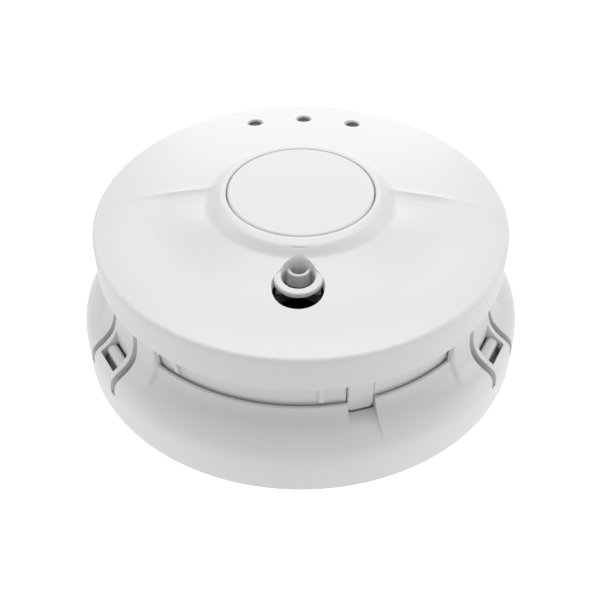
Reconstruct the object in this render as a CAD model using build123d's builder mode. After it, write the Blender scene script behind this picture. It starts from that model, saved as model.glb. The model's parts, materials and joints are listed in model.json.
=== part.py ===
"""A mains smoke detector: a twist-lock detector head on a ceiling base.

The origin is the centre of the face that lies against the ceiling, +Z points into the room and -Y points to
the sounder outlet. All sizes are in millimetres.
"""

import os
from math import cos, pi, radians, sin, tan

from build123d import *

os.makedirs("parts", exist_ok=True)

# Base: a ring with a floor, three raised shoulders and a cable entry in each shoulder
BASE_RADIUS = 70.0
BASE_FLOOR = 2.4
BASE_WALL = 1.8
SKIRT_CORNER = 13.4  # height where the skirt would meet the slope, were it not rounded
SLOPE_ANGLE = 35.0
SKIRT_ROUND = 4.0
NECK_ROUND = 9.5
SHOULDER_RADIUS = 60.8
SHOULDER_TOP = 31.0
SHOULDER_HALF_ANGLE = 16.5
RIM_RADIUS = 60.2
RIM_INNER_RADIUS = 59.2
RIM_TOP = 23.6
ENTRY_AZIMUTHS = (-148.9, -25.9, 92.6)
ENTRY_HALF_WIDTH = 6.6
ENTRY_SLOT = 2.4
ENTRY_SLOT_LOW = 9.5
WINDOW_HALF_WIDTH = 4.9
WINDOW_INNER = 62.3
WINDOW_OUTER = 67.6
CABLE_HOLE_X = 34.0
CABLE_HOLE_Y = 26.0
FIXING_SPACING = 60.0
FIXING_HOLE_RADIUS = 2.2
FIXING_SLOT = 10.0
SIDE_FIXING_SPACING = 84.0

# Twist lock between the head's feet and the base's hooks
LOCK_AZIMUTHS = (90.0, 210.0, 330.0)
LOCK_HALF_ANGLE = 5.5
FOOT_RADIUS = 47.0
FOOT_FLANGE_RADIUS = 52.4
HOOK_RADIUS = 50.2
HOOK_POST_RADIUS = 53.2
HOOK_OUTER_RADIUS = 55.2
HOOK_TOP = 11.2
HOOK_UNDERSIDE = 9.2
FOOT_BOTTOM = 7.0
FOOT_FLANGE_TOP = 8.8

# Head: a tub that carries the circuit board, and a domed cover screwed to it
TUB_RADIUS = 58.6
TUB_WALL = 2.0
TUB_FLOOR_LOW = 15.5
TUB_FLOOR_TOP = 17.5
TUB_TOP = 35.6
FLANGE_LOW = 34.1
FLANGE_RADIUS = 61.1
COVER_RADIUS = 63.4
COVER_WALL = 2.2
COVER_BOTTOM = 33.9
COVER_RIM_TOP = 45.7
COLLAR_TOP = 54.3
COLLAR_RADIUS = 24.3
BUTTON_RADIUS = 22.2
BUTTON_GAP = 0.35
BUTTON_TOP = 54.5
BUTTON_TRAVEL = 1.2
WELL_FLOOR_TOP = 46.4
WELL_FLOOR_LOW = 44.8
CREASE_Y = 4.0
BOSS_AZIMUTHS = (30.0, 150.0, 225.0, 315.0)
BOSS_CIRCLE = 52.5
BOSS_RADIUS = 3.1
PILOT_RADIUS = 1.3
GUSSET_AZIMUTHS = (-125.5, -83.3, 10.0, 50.0, 122.0, 165.0)
GUSSET_THICK = 1.5

# Indicator windows and the sounder outlet in the cover
INDICATOR_CIRCLE = 50.5
INDICATOR_STEP = 19.1
INDICATOR_HOLE = 2.4
OUTLET_Y = -37.6
OUTLET_RADIUS = 7.4
LIP_Y = -33.5
LIP_Z = 49.3
LIP_TILT = 12.0
LIP_OUTER = 7.1
LIP_INNER = 4.75
LIP_THICK = 1.6
THROAT_RADIUS = 5.1
THROAT_WALL = 1.3
THROAT_LOW = 42.0
CROWN_Y = -29.3
CROWN_TOP = 48.2
CROWN_TOP_RADIUS = 3.3
CROWN_FOOT_RADIUS = 4.1
CROWN_BORE = 2.4

# Release tab in the tub wall
TAB_AZIMUTH = -72.4
TAB_WIDTH = 7.6
TAB_LOW = 19.6
TAB_OUTER = 58.9
TAB_THICK = 1.5
TAB_PIVOT_Z = 31.2
TAB_PIVOT_RADIUS = 57.1
TAB_BARREL = 1.5
TRUNNION_RADIUS = 0.9

# Circuit board and what stands on it
BOARD_LOW = 20.5
BOARD_TOP = 22.1
BOARD_RADIUS = 54.5
CHAMBER_Y = 27.0
CHAMBER_RADIUS = 17.5
CHAMBER_FLOOR = 27.0
CHAMBER_TOP = 41.0
SOUNDER_Y = -35.0
SOUNDER_RADIUS = 15.5
DISC_Z = 30.0


def radial_plane(azimuth):
    """The plane through the Z axis at an azimuth: its x runs outwards and its y runs up."""
    a = radians(azimuth)
    return Plane(origin=(0, 0, 0), x_dir=(cos(a), sin(a), 0), z_dir=(sin(a), -cos(a), 0))


def polar(radius, azimuth, height=0.0):
    """A point at a radius and an azimuth about the Z axis."""
    a = radians(azimuth)
    return (radius * cos(a), radius * sin(a), height)


def write(piece, name):
    """Labels a finished piece and writes it as one STEP file."""
    piece.part.label = name
    export_step(piece.part, f"parts/{name}.step")


def neck_height(inner_radius, corner=SKIRT_CORNER):
    """Height at which the slope from the skirt would reach a radius."""
    return corner + (BASE_RADIUS - inner_radius) * tan(radians(SLOPE_ANGLE))


# ---------------------------------------------------------------- base


def base_section(inner_radius, wall_inner, top):
    """The base's wall section: skirt, rounded slope and the neck that stands round the head."""
    corner = SKIRT_CORNER
    with BuildSketch() as section:
        with BuildLine():
            FilletPolyline(
                (BASE_RADIUS, 0.0),
                (BASE_RADIUS, corner),
                (inner_radius, neck_height(inner_radius)),
                (inner_radius, top),
                radius=[SKIRT_ROUND, min(NECK_ROUND, 1.5 * (top - neck_height(inner_radius)))],
            )
            Polyline(
                (inner_radius, top),
                (wall_inner, top),
                (wall_inner, neck_height(inner_radius) - BASE_WALL),
                (BASE_RADIUS - BASE_WALL, corner - BASE_WALL),
                (BASE_RADIUS - BASE_WALL, BASE_FLOOR),
                (wall_inner, BASE_FLOOR),
                (wall_inner, 0.0),
                (BASE_RADIUS, 0.0),
            )
        make_face()
    return section.sketch


with BuildPart() as base_plate:
    with BuildSketch(Plane.XY):
        Circle(BASE_RADIUS - 1)
    extrude(amount=BASE_FLOOR)
    with BuildSketch(Plane.XZ):
        add(base_section(RIM_RADIUS, RIM_INNER_RADIUS, RIM_TOP))
    revolve(axis=Axis.Z)
    for azimuth in ENTRY_AZIMUTHS:
        with BuildSketch(radial_plane(azimuth - SHOULDER_HALF_ANGLE)):
            add(base_section(SHOULDER_RADIUS, SHOULDER_RADIUS - BASE_WALL, SHOULDER_TOP))
        revolve(axis=Axis.Z, revolution_arc=2 * SHOULDER_HALF_ANGLE)
    # each cable entry: two slots that free a tongue in the shoulder, with a window in the tongue
    for azimuth in ENTRY_AZIMUTHS:
        entry = radial_plane(azimuth)
        for side in (-1, 1):
            offset = side * (ENTRY_HALF_WIDTH + ENTRY_SLOT / 2)
            with BuildSketch(entry.offset(offset)):
                with BuildLine():
                    Polyline(
                        (SHOULDER_RADIUS - 4, SHOULDER_TOP + 1),
                        (BASE_RADIUS + 1, SHOULDER_TOP + 1),
                        (BASE_RADIUS + 1, ENTRY_SLOT_LOW + 1.5),
                        (BASE_RADIUS - BASE_WALL - 0.5, ENTRY_SLOT_LOW - 1.5),
                        (SHOULDER_RADIUS - 4, neck_height(SHOULDER_RADIUS) - BASE_WALL - 4),
                        close=True,
                    )
                make_face()
            extrude(amount=ENTRY_SLOT / 2, both=True, mode=Mode.SUBTRACT)
        with BuildSketch(entry):
            with Locations(((WINDOW_INNER + WINDOW_OUTER) / 2, 17.0)):
                Rectangle(WINDOW_OUTER - WINDOW_INNER, 16.0)
        extrude(amount=WINDOW_HALF_WIDTH, both=True, mode=Mode.SUBTRACT)
    # screwdriver channel that leads to the release tab
    with BuildSketch(radial_plane(TAB_AZIMUTH)):
        with BuildLine():
            Polyline(
                (RIM_INNER_RADIUS - 1, TAB_LOW - 0.5),
                (RIM_RADIUS + 0.5, TAB_LOW - 0.9),
                (BASE_RADIUS - 3.2, 15.1),
                (BASE_RADIUS - 3.2, RIM_TOP + 2),
                (RIM_INNER_RADIUS - 1, RIM_TOP + 2),
                close=True,
            )
        make_face()
    extrude(amount=TAB_WIDTH / 2 + 0.3, both=True, mode=Mode.SUBTRACT)
    # twist-lock hooks
    for azimuth in LOCK_AZIMUTHS:
        with BuildSketch(radial_plane(azimuth - LOCK_HALF_ANGLE)):
            with BuildLine():
                Polyline(
                    (HOOK_POST_RADIUS, BASE_FLOOR - 0.5),
                    (HOOK_OUTER_RADIUS, BASE_FLOOR - 0.5),
                    (HOOK_OUTER_RADIUS, HOOK_TOP),
                    (HOOK_RADIUS, HOOK_TOP),
                    (HOOK_RADIUS, HOOK_UNDERSIDE),
                    (HOOK_POST_RADIUS, HOOK_UNDERSIDE),
                    close=True,
                )
            make_face()
        revolve(axis=Axis.Z, revolution_arc=2 * LOCK_HALF_ANGLE)
    # cable hole with a raised lip, and the fixing slots and holes
    with BuildSketch(Plane.XY):
        RectangleRounded(CABLE_HOLE_X + 3.2, CABLE_HOLE_Y + 3.2, 6.6)
    extrude(amount=BASE_FLOOR + 1.6)
    with BuildSketch(Plane.XY):
        RectangleRounded(CABLE_HOLE_X, CABLE_HOLE_Y, 5)
        with GridLocations(FIXING_SPACING, 0, 2, 1):
            SlotOverall(FIXING_SLOT, 2 * FIXING_HOLE_RADIUS)
        with GridLocations(0, SIDE_FIXING_SPACING, 1, 2):
            Circle(FIXING_HOLE_RADIUS)
    extrude(amount=BASE_FLOOR + 2, mode=Mode.SUBTRACT)
write(base_plate, "base_plate")


def make_entry_guide(azimuth):
    """A curved cable guide that stands behind a cable entry's window."""
    with BuildPart() as guide:
        with BuildSketch(radial_plane(azimuth)):
            with BuildLine():
                rise = ThreePointArc((62.3, 13.8), (63.9, 16.4), (65.5, 13.8))
                Polyline(rise @ 1, (65.0, BASE_FLOOR), (62.3, BASE_FLOOR), rise @ 0)
            make_face()
        extrude(amount=WINDOW_HALF_WIDTH - 0.3, both=True)
    return guide


for number, azimuth in enumerate(ENTRY_AZIMUTHS, start=1):
    write(make_entry_guide(azimuth), f"cable_guide_{number}")

# ------------------------------------------------- wiring parts in the base

TERMINAL_X = 36.0
TERMINAL_Y = 13.0
TERMINAL_CENTRE_Y = 29.0
TERMINAL_TOP = 11.6
TERMINAL_PITCH = 8.4
PAD_THICK = 0.5
WAYS = 4

with BuildPart() as terminal_block:
    with BuildSketch(Plane.XY.offset(BASE_FLOOR)):
        with Locations((0, TERMINAL_CENTRE_Y)):
            RectangleRounded(TERMINAL_X, TERMINAL_Y, 1.2)
    extrude(amount=TERMINAL_TOP - BASE_FLOOR)
    with Locations((0, TERMINAL_CENTRE_Y - 2, TERMINAL_TOP)):
        with GridLocations(TERMINAL_PITCH, 0, WAYS, 1):
            Hole(radius=2.3, depth=4.0)
    # wire mouths, facing the cable hole
    with BuildSketch(Plane.XZ.offset(-(TERMINAL_CENTRE_Y - TERMINAL_Y / 2))):
        with Locations((0, 5.8)):
            with GridLocations(TERMINAL_PITCH, 0, WAYS, 1):
                Rectangle(5.2, 4.6)
    extrude(amount=-9.0, mode=Mode.SUBTRACT)
write(terminal_block, "terminal_block")

with BuildPart() as wire_clamps:
    with BuildSketch(Plane.XY.offset(3.7)):
        with Locations((0, TERMINAL_CENTRE_Y - 2)):
            with GridLocations(TERMINAL_PITCH, 0, WAYS, 1):
                Rectangle(4.8, 6.4)
    extrude(amount=4.0)
    with BuildSketch(Plane.XZ.offset(-(TERMINAL_CENTRE_Y - TERMINAL_Y / 2))):
        with Locations((0, 5.6)):
            with GridLocations(TERMINAL_PITCH, 0, WAYS, 1):
                Rectangle(3.4, 2.4)
    extrude(amount=-9.0, mode=Mode.SUBTRACT)
write(wire_clamps, "wire_clamps")

with BuildPart() as terminal_screws:
    with Locations((0, TERMINAL_CENTRE_Y - 2, 9.3)):
        with GridLocations(TERMINAL_PITCH, 0, WAYS, 1):
            Cylinder(2.1, 3.0)
    with BuildSketch(Plane.XY.offset(10.8)):
        with Locations((0, TERMINAL_CENTRE_Y - 2)):
            with GridLocations(TERMINAL_PITCH, 0, WAYS, 1):
                Rectangle(5, 0.7)
    extrude(amount=-1.0, mode=Mode.SUBTRACT)
write(terminal_screws, "terminal_screws")

with BuildPart() as contact_springs:
    # leaf springs that rise from the block and press on the head's contact pads
    with BuildSketch(Plane.YZ.offset(-1.3)):
        with BuildLine():
            y = TERMINAL_CENTRE_Y + 1.6
            pad_low = TUB_FLOOR_LOW - PAD_THICK
            Polyline(
                (y, TERMINAL_TOP),
                (y + 1.2, TERMINAL_TOP),
                (y + 1.8, TERMINAL_TOP + 0.8),
                (y + 4.4, pad_low - 0.08),
                (y + 6.8, pad_low - 0.9),
                (y + 6.4, pad_low - 1.3),
                (y + 4.4, pad_low - 0.6),
                (y + 1.4, TERMINAL_TOP + 1.4),
                (y, TERMINAL_TOP + 0.4),
                close=True,
            )
        make_face()
    leaf = extrude(amount=2.6, mode=Mode.PRIVATE)
    with Locations(*[(TERMINAL_PITCH * (n - (WAYS - 1) / 2), 0, 0) for n in range(WAYS)]):
        add(leaf)
write(contact_springs, "contact_springs")

CLAMP_Y = -20.5

with BuildPart() as cable_clamp:
    with BuildSketch(Plane.XY.offset(BASE_FLOOR)):
        with Locations((0, CLAMP_Y)):
            SlotOverall(27, 6.4)
    extrude(amount=4.6)
    with BuildSketch(Plane.XZ.offset(-CLAMP_Y)):
        with Locations((0, BASE_FLOOR)):
            RectangleRounded(14, 5.6, 1.2)
    extrude(amount=4, both=True, mode=Mode.SUBTRACT)
    with Locations((0, CLAMP_Y, BASE_FLOOR + 4.6)):
        with GridLocations(20, 0, 2, 1):
            Hole(radius=1.5)
write(cable_clamp, "cable_clamp")

with BuildPart() as clamp_screws:
    with Locations((0, CLAMP_Y, BASE_FLOOR)):
        with GridLocations(20, 0, 2, 1):
            Cylinder(1.4, 4.6, align=(Align.CENTER, Align.CENTER, Align.MIN))
    with Locations((0, CLAMP_Y, BASE_FLOOR + 4.6)):
        with GridLocations(20, 0, 2, 1):
            Cylinder(2.7, 1.6, align=(Align.CENTER, Align.CENTER, Align.MIN))
    fillet(clamp_screws.edges().group_by(Axis.Z)[-1], 0.6)
    with BuildSketch(Plane.XY.offset(BASE_FLOOR + 6.2)):
        with Locations((0, CLAMP_Y)):
            with GridLocations(20, 0, 2, 1):
                Rectangle(3.2, 0.7)
                Rectangle(0.7, 3.2)
    extrude(amount=-0.9, mode=Mode.SUBTRACT)
write(clamp_screws, "clamp_screws")

# ---------------------------------------------------------------- cover


def cover_outline(foot, middle):
    """Half of the cover's outline, filled down to its open bottom."""
    with BuildSketch() as outline:
        with BuildLine():
            collar = FilletPolyline(
                (BUTTON_RADIUS, COLLAR_TOP),
                (COLLAR_RADIUS, COLLAR_TOP),
                foot,
                (foot[0] + 4, foot[1] - 0.6),
                radius=[1.0, 3.2],
            )
            edge = (COVER_RADIUS - 2.2, COVER_RIM_TOP)
            dome = Spline(collar @ 1, middle, edge, tangents=[collar % 1, (1, -0.17)])
            rim = ThreePointArc(edge, (COVER_RADIUS - 0.7, COVER_RIM_TOP - 0.8), (COVER_RADIUS, COVER_RIM_TOP - 2.3))
            Polyline(rim @ 1, (COVER_RADIUS, COVER_BOTTOM), (0, COVER_BOTTOM), (0, COLLAR_TOP), collar @ 0)
        make_face()
    return outline.sketch


with BuildPart() as rear_dome:
    with BuildSketch(Plane.XZ):
        add(cover_outline((28.0, 51.3), (47.0, 48.95)))
    revolve(axis=Axis.Z)
    split(bisect_by=Plane.XZ.offset(-CREASE_Y), keep=Keep.BOTTOM)

with BuildPart() as front_dome:
    with BuildSketch(Plane.XZ):
        add(cover_outline((33.0, 50.9), (47.0, 48.1)))
    revolve(axis=Axis.Z)
    split(bisect_by=Plane.XZ.offset(-CREASE_Y), keep=Keep.TOP)

with BuildPart() as cover:
    add(rear_dome.part)
    add(front_dome.part)
    # hollow inside
    with BuildSketch(Plane.XZ):
        with BuildLine():
            inside = FilletPolyline(
                (0, 47.0),
                (24.5, 47.0),
                (COVER_RADIUS - COVER_WALL - 1, COVER_RIM_TOP - COVER_WALL - 0.2),
                (COVER_RADIUS - COVER_WALL, 42.0),
                (COVER_RADIUS - COVER_WALL, COVER_BOTTOM - 1),
                radius=[2, 1, 1],
            )
            Polyline(inside @ 1, (0, COVER_BOTTOM - 1), (0, 47.0))
        make_face()
    revolve(axis=Axis.Z, mode=Mode.SUBTRACT)
    # the well that the button sits in
    with BuildSketch(Plane.XY.offset(WELL_FLOOR_LOW)):
        Circle(COLLAR_RADIUS)
    extrude(amount=3)
    with BuildSketch(Plane.XY.offset(WELL_FLOOR_TOP)):
        Circle(BUTTON_RADIUS + BUTTON_GAP)
    extrude(amount=12, mode=Mode.SUBTRACT)
    with BuildSketch(Plane.XY.offset(WELL_FLOOR_LOW - 1)):
        Circle(3.6)
        with PolarLocations(17.0, 3, start_angle=90):
            Rectangle(3.6, 6.6)
    extrude(amount=4, mode=Mode.SUBTRACT)
    # indicator windows
    with BuildSketch(Plane.XY.offset(COVER_BOTTOM)):
        for step in (-1, 0, 1):
            with Locations(polar(INDICATOR_CIRCLE, 90 + step * INDICATOR_STEP)[:2]):
                Circle(INDICATOR_HOLE)
    extrude(amount=20, mode=Mode.SUBTRACT)
    # sounder outlet: a round opening, and a tilted lip and throat that stand over its back
    with BuildSketch(Plane.XY.offset(COVER_BOTTOM)):
        with Locations((0, OUTLET_Y)):
            Circle(OUTLET_RADIUS)
    extrude(amount=20, mode=Mode.SUBTRACT)
    lip_plane = Plane(origin=(0, LIP_Y, LIP_Z)).rotated((LIP_TILT, 0, 0))
    with BuildSketch(lip_plane):
        Circle(LIP_OUTER)
    extrude(amount=-LIP_THICK)
    with BuildSketch(Plane.XY.offset(THROAT_LOW)):
        with Locations((0, LIP_Y)):
            Circle(THROAT_RADIUS + THROAT_WALL)
        with Locations((0, LIP_Y - 10)):
            Rectangle(30, 20, mode=Mode.SUBTRACT)
    extrude(amount=LIP_Z - THROAT_LOW - 0.5)
    with BuildSketch(Plane.XY.offset(THROAT_LOW - 1)):
        with Locations((0, LIP_Y)):
            Circle(THROAT_RADIUS)
    extrude(amount=20, mode=Mode.SUBTRACT)
    # the half-round nozzle that stands in the throat
    with BuildSketch(Plane.XZ.offset(-CROWN_Y)):
        with BuildLine():
            Polyline(
                (CROWN_BORE, THROAT_LOW),
                (CROWN_FOOT_RADIUS, THROAT_LOW),
                (CROWN_TOP_RADIUS, CROWN_TOP),
                (CROWN_BORE, CROWN_TOP),
                close=True,
            )
        make_face()
    revolve(axis=Axis((0, CROWN_Y, 0), (0, 0, 1)), revolution_arc=360)
    # screw bosses
    for azimuth in BOSS_AZIMUTHS:
        with BuildSketch(Plane.XY.offset(TUB_FLOOR_TOP + 0.05)):
            with Locations(polar(BOSS_CIRCLE, azimuth)[:2]):
                Circle(BOSS_RADIUS)
        extrude(amount=28.5)
        with BuildSketch(Plane.XY.offset(TUB_FLOOR_TOP)):
            with Locations(polar(BOSS_CIRCLE, azimuth)[:2]):
                Circle(PILOT_RADIUS)
        extrude(amount=11, mode=Mode.SUBTRACT)
write(cover, "cover")

# ---------------------------------------------------------------- tub

TAB_SIDE_GAP = 0.35
EAR_THICK = 1.7

with BuildPart() as tub:
    with BuildSketch(Plane.XZ):
        with BuildLine():
            Polyline(
                (0, TUB_FLOOR_LOW),
                (TUB_RADIUS, TUB_FLOOR_LOW),
                (TUB_RADIUS, FLANGE_LOW),
                (FLANGE_RADIUS, FLANGE_LOW),
                (FLANGE_RADIUS, TUB_TOP),
                (TUB_RADIUS - TUB_WALL, TUB_TOP),
                (TUB_RADIUS - TUB_WALL, TUB_FLOOR_TOP),
                (0, TUB_FLOOR_TOP),
                close=True,
            )
        make_face()
    revolve(axis=Axis.Z)
    # smoke inlet slots in the flange under the cover
    with BuildSketch(Plane.XY.offset(FLANGE_LOW)):
        with PolarLocations((TUB_RADIUS + FLANGE_RADIUS) / 2 + 0.2, 40):
            Rectangle(2.2, 6.6)
    extrude(amount=TUB_TOP - FLANGE_LOW, mode=Mode.SUBTRACT)
    # gussets under the flange
    for azimuth in GUSSET_AZIMUTHS:
        with BuildSketch(radial_plane(azimuth)):
            with BuildLine():
                Polyline(
                    (TUB_RADIUS - 0.5, FLANGE_LOW),
                    (FLANGE_RADIUS - 0.5, FLANGE_LOW),
                    (FLANGE_RADIUS - 0.8, 30.5),
                    (TUB_RADIUS + 0.6, RIM_TOP + 0.9),
                    (TUB_RADIUS - 0.5, RIM_TOP + 0.9),
                    close=True,
                )
            make_face()
        extrude(amount=GUSSET_THICK / 2, both=True)
    # twist-lock feet
    for azimuth in LOCK_AZIMUTHS:
        with BuildSketch(radial_plane(azimuth - LOCK_HALF_ANGLE)):
            with BuildLine():
                Polyline(
                    (FOOT_RADIUS, TUB_FLOOR_LOW + 0.5),
                    (FOOT_RADIUS, FOOT_BOTTOM),
                    (FOOT_FLANGE_RADIUS, FOOT_BOTTOM),
                    (FOOT_FLANGE_RADIUS, FOOT_FLANGE_TOP),
                    (HOOK_RADIUS - 0.6, FOOT_FLANGE_TOP),
                    (HOOK_RADIUS - 0.6, TUB_FLOOR_LOW + 0.5),
                    close=True,
                )
            make_face()
        revolve(axis=Axis.Z, revolution_arc=2 * LOCK_HALF_ANGLE)
    # window and pivot ears for the release tab
    tab_window = TAB_WIDTH / 2 + TAB_SIDE_GAP
    with BuildSketch(radial_plane(TAB_AZIMUTH)):
        with Locations((TUB_RADIUS, (TAB_LOW + TAB_PIVOT_Z) / 2 + 0.6)):
            Rectangle(10, TAB_PIVOT_Z - TAB_LOW + 3.2)
    extrude(amount=tab_window, both=True, mode=Mode.SUBTRACT)
    for side in (-1, 1):
        with BuildSketch(radial_plane(TAB_AZIMUTH).offset(side * (tab_window + EAR_THICK / 2))):
            with Locations((TAB_PIVOT_RADIUS - 0.3, TAB_PIVOT_Z)):
                Rectangle(3.4, 4.2)
        extrude(amount=EAR_THICK / 2, both=True)
    with BuildSketch(radial_plane(TAB_AZIMUTH)):
        with Locations((TAB_PIVOT_RADIUS, TAB_PIVOT_Z)):
            Circle(TRUNNION_RADIUS + 0.06)
    extrude(amount=tab_window + EAR_THICK + 0.6, both=True, mode=Mode.SUBTRACT)
    # board supports and screw holes
    with BuildSketch(Plane.XY.offset(TUB_FLOOR_TOP)):
        with PolarLocations(50.0, 4, start_angle=0):
            Circle(2.4)
    extrude(amount=BOARD_LOW - TUB_FLOOR_TOP)
    with BuildSketch(Plane.XY.offset(TUB_FLOOR_LOW)):
        for azimuth in BOSS_AZIMUTHS:
            with Locations(polar(BOSS_CIRCLE, azimuth)[:2]):
                Circle(PILOT_RADIUS + 0.35)
    extrude(amount=TUB_FLOOR_TOP - TUB_FLOOR_LOW, mode=Mode.SUBTRACT)
write(tub, "tub")

with BuildPart() as release_tab:
    with BuildSketch(radial_plane(TAB_AZIMUTH)):
        with Locations((TAB_OUTER - TAB_THICK / 2, (TAB_LOW + TAB_PIVOT_Z) / 2)):
            Rectangle(TAB_THICK, TAB_PIVOT_Z - TAB_LOW)
        with Locations((TAB_PIVOT_RADIUS, TAB_PIVOT_Z)):
            Circle(TAB_BARREL)
    extrude(amount=TAB_WIDTH / 2, both=True)
    with BuildSketch(radial_plane(TAB_AZIMUTH).offset(TAB_WIDTH / 2 - 0.8)):
        with Locations((TAB_OUTER + 0.3, 28.0)):
            Rectangle(1.0, 5.6)
    extrude(amount=0.6, both=True)
    radial_edges = release_tab.edges().filter_by(Axis((0, 0, 0), polar(1, TAB_AZIMUTH)))
    fillet(radial_edges.group_by(Axis.Z)[0], 1.6)
    with BuildSketch(radial_plane(TAB_AZIMUTH)):
        with Locations((TAB_PIVOT_RADIUS, TAB_PIVOT_Z)):
            Circle(TRUNNION_RADIUS)
    extrude(amount=TAB_WIDTH / 2 + TAB_SIDE_GAP + EAR_THICK - 0.1, both=True)
write(release_tab, "release_tab")

with BuildPart() as housing_screws:
    for azimuth in BOSS_AZIMUTHS:
        with Locations(polar(BOSS_CIRCLE, azimuth, TUB_FLOOR_LOW)):
            Cylinder(PILOT_RADIUS - 0.02, 11.0, align=(Align.CENTER, Align.CENTER, Align.MIN))
            Cylinder(2.7, 1.7, align=(Align.CENTER, Align.CENTER, Align.MAX))
    with BuildSketch(Plane.XY.offset(TUB_FLOOR_LOW - 1.7)):
        for azimuth in BOSS_AZIMUTHS:
            with Locations(polar(BOSS_CIRCLE, azimuth)[:2]):
                Rectangle(3.0, 0.7)
                Rectangle(0.7, 3.0)
    extrude(amount=0.9, mode=Mode.SUBTRACT)
write(housing_screws, "housing_screws")

# ------------------------------------------------------- test button

BUTTON_SKIRT_LOW = 47.8
BUTTON_CAP_LOW = 52.4
SWITCH_TOP = 28.6

with BuildPart() as test_button:
    with BuildSketch(Plane.XY.offset(BUTTON_SKIRT_LOW)):
        Circle(BUTTON_RADIUS)
    extrude(amount=BUTTON_TOP - BUTTON_SKIRT_LOW)
    fillet(test_button.edges().group_by(Axis.Z)[-1], 0.8)
    with BuildSketch(Plane.XY.offset(BUTTON_SKIRT_LOW)):
        Circle(BUTTON_RADIUS - 1.6)
    extrude(amount=BUTTON_CAP_LOW - BUTTON_SKIRT_LOW, mode=Mode.SUBTRACT)
    # snap legs that hold the button in its well
    with BuildSketch(Plane.XY.offset(WELL_FLOOR_LOW - 1.9)):
        with PolarLocations(16.9, 3, start_angle=90):
            Rectangle(2.2, 5.2)
    extrude(amount=BUTTON_CAP_LOW + 0.4 - WELL_FLOOR_LOW + 1.9)
    with BuildSketch(Plane.XY.offset(WELL_FLOOR_LOW - 1.9)):
        with PolarLocations(17.8, 3, start_angle=90):
            Rectangle(3.2, 5.2)
    extrude(amount=1.8)
write(test_button, "test_button")

with BuildPart() as button_plunger:
    with BuildSketch(Plane.XY.offset(SWITCH_TOP + BUTTON_TRAVEL + 0.05)):
        Circle(2.4)
    extrude(amount=BUTTON_CAP_LOW - SWITCH_TOP - BUTTON_TRAVEL - 0.05)
    with BuildSketch(Plane.XY.offset(WELL_FLOOR_TOP + BUTTON_TRAVEL + 2.0)):
        Circle(3.1)
    extrude(amount=BUTTON_CAP_LOW - WELL_FLOOR_TOP - BUTTON_TRAVEL - 2.0)
write(button_plunger, "button_plunger")

SPRING_WIRE = 0.35
SPRING_RADIUS = 6.0
SPRING_TURNS = 4

with BuildPart() as button_spring:
    spring_low = WELL_FLOOR_TOP + SPRING_WIRE
    spring_height = BUTTON_CAP_LOW - WELL_FLOOR_TOP - 2 * SPRING_WIRE
    with BuildLine(Plane.XY.offset(spring_low)):
        coil = Helix(spring_height / SPRING_TURNS, spring_height, SPRING_RADIUS)
    with BuildSketch(Plane(coil @ 0, z_dir=coil % 0)):
        Circle(SPRING_WIRE)
    sweep(is_frenet=True)
write(button_spring, "button_spring")

# ---------------------------------------------------- circuit board

with BuildPart() as circuit_board:
    with BuildSketch(Plane.XY.offset(BOARD_LOW)):
        Circle(BOARD_RADIUS)
        for azimuth in BOSS_AZIMUTHS:
            with Locations(polar(BOSS_CIRCLE, azimuth)[:2]):
                Circle(BOSS_RADIUS + 0.4, mode=Mode.SUBTRACT)
        with Locations(polar(BOARD_RADIUS, TAB_AZIMUTH)[:2]):
            Circle(7.0, mode=Mode.SUBTRACT)
    extrude(amount=BOARD_TOP - BOARD_LOW)
write(circuit_board, "circuit_board")

with BuildPart() as button_switch:
    with BuildSketch(Plane.XY.offset(BOARD_TOP)):
        Rectangle(6.2, 6.2)
    extrude(amount=4.3)
    with BuildSketch(Plane.XY.offset(BOARD_TOP + 4.3)):
        Circle(1.7)
    extrude(amount=SWITCH_TOP - BOARD_TOP - 4.3)
write(button_switch, "button_switch")

with BuildPart() as chamber_base:
    with BuildSketch(Plane.XY.offset(BOARD_TOP)):
        with Locations((0, CHAMBER_Y)):
            Circle(CHAMBER_RADIUS)
    extrude(amount=CHAMBER_FLOOR - BOARD_TOP)
    # labyrinth vanes that let smoke in but keep light out
    with BuildSketch(Plane.XY.offset(CHAMBER_FLOOR)):
        with Locations((0, CHAMBER_Y)):
            with PolarLocations(CHAMBER_RADIUS - 3.4, 18):
                with Locations(Location((0, 0, 0), (0, 0, 35))):
                    Rectangle(4.4, 0.9)
    extrude(amount=9.0)
    # sockets for the emitter and the receiver
    with Locations((-8.6, CHAMBER_Y - 4.6, CHAMBER_FLOOR), (8.6, CHAMBER_Y - 4.6, CHAMBER_FLOOR)):
        Box(5.6, 4.4, 6.4, align=(Align.CENTER, Align.CENTER, Align.MIN))
    for side in (-1, 1):
        with Locations(Location((side * 8.6, CHAMBER_Y - 4.6, CHAMBER_FLOOR + 3.2), (0, 90, 0))):
            Cylinder(1.6, 7.0, mode=Mode.SUBTRACT)
write(chamber_base, "chamber_base")

MESH_TOP = 39.6

with BuildPart() as insect_mesh:
    with BuildSketch(Plane.XY.offset(CHAMBER_FLOOR)):
        with Locations((0, CHAMBER_Y)):
            Circle(CHAMBER_RADIUS - 0.15)
            Circle(CHAMBER_RADIUS - 0.65, mode=Mode.SUBTRACT)
    extrude(amount=MESH_TOP - CHAMBER_FLOOR)
    with Locations((0, CHAMBER_Y, 0)):
        with PolarLocations(CHAMBER_RADIUS - 0.4, 24):
            for row in range(5):
                with Locations((0, 0, CHAMBER_FLOOR + 2.0 + row * 2.2)):
                    Box(1.6, 2.9, 1.5, mode=Mode.SUBTRACT)
write(insect_mesh, "insect_mesh")

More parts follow.
